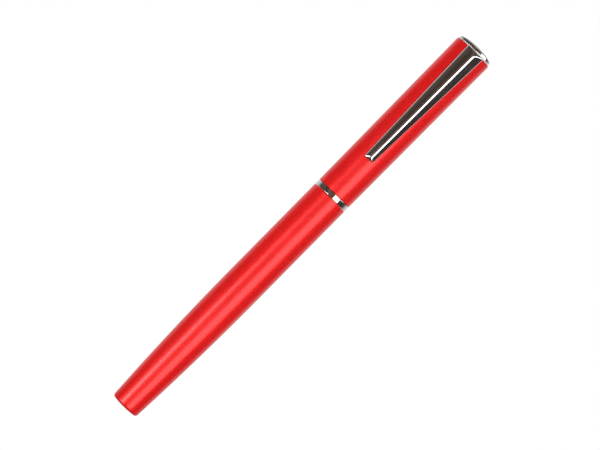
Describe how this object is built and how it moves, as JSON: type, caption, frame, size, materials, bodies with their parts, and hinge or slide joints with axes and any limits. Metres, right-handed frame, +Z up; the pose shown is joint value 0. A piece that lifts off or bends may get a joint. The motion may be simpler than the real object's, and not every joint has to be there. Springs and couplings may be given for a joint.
{
  "type": "rollerball pen",
  "caption": "Slim rollerball pen with a pull-off cap, a sprung pocket clip, a screw-off barrel and a replaceable refill.",
  "frame": {"origin": "on the surface the pen lies on, under the middle of its length and its centre line", "axes": "+X along the pen from the barrel's closed end to the cap's finial, +Z up through the clip"},
  "size_m": [0.138, 0.0116, 0.0138],
  "materials": {
    "lacquer": "satin red lacquer over brass",
    "chrome": "polished chrome plate",
    "brass": "turned",
    "steel": "bright drawn",
    "black_plastic": "smooth moulded",
    "grey_plastic": "moulded",
    "ink_fibre": "ink-soaked fibre"
  },
  "bodies": {
    "barrel": {"barrel_shell": "lacquer", "barrel_bush": "brass", "spring_seat": "black_plastic", "refill_spring": "steel"},
    "ring": {"centre_ring": "chrome"},
    "section": {"grip_section": "black_plastic", "thread_sleeve": "brass", "snap_ring": "steel", "nose_cone": "chrome"},
    "refill": {"refill_tube": "steel", "refill_end_plug": "black_plastic", "ink_reservoir": "ink_fibre", "feed_rod": "ink_fibre", "refill_nose": "grey_plastic", "point_cone": "brass"},
    "ball": {"writing_ball": "steel"},
    "cap": {"cap_shell": "lacquer", "inner_cap": "black_plastic", "cap_plug": "brass", "clip_ring": "chrome", "finial": "chrome", "finial_stud": "steel"},
    "clip_blade": {"clip": "chrome"}
  },
  "joints": [
    {"name": "unscrew_travel", "type": "slide", "parent": "barrel", "child": "ring", "axis": [1, 0, 0], "range_m": [0, 0.0088]},
    {"name": "section_turn", "type": "hinge", "parent": "ring", "child": "section", "pos_m": [0.0112, 0, 0.0058], "axis": [1, 0, 0], "range_deg": [0, 1980]},
    {"name": "refill_give", "type": "slide", "parent": "section", "child": "refill", "axis": [-1, 0, 0], "range_m": [0, 0.0015], "stiffness_N_per_m": 250, "springref_m": -0.003, "deforming": ["refill_spring"]},
    {"name": "ball_roll", "type": "hinge", "parent": "refill", "child": "ball", "pos_m": [0.05365, 0, 0.0058], "axis": [0, 1, 0], "continuous": true},
    {"name": "cap_pull", "type": "slide", "parent": "section", "child": "cap", "axis": [1, 0, 0], "range_m": [0, 0.05]},
    {"name": "clip_lift", "type": "hinge", "parent": "cap", "child": "clip_blade", "pos_m": [0.06685, 0, 0.01163], "axis": [0, 1, 0], "range_deg": [0, 4], "stiffness_Nm_per_rad": 1.5}
  ],
  "couplings": [
    {"joint": "section_turn", "follows": "unscrew_travel", "rad_per_m": 3927}
  ]
}
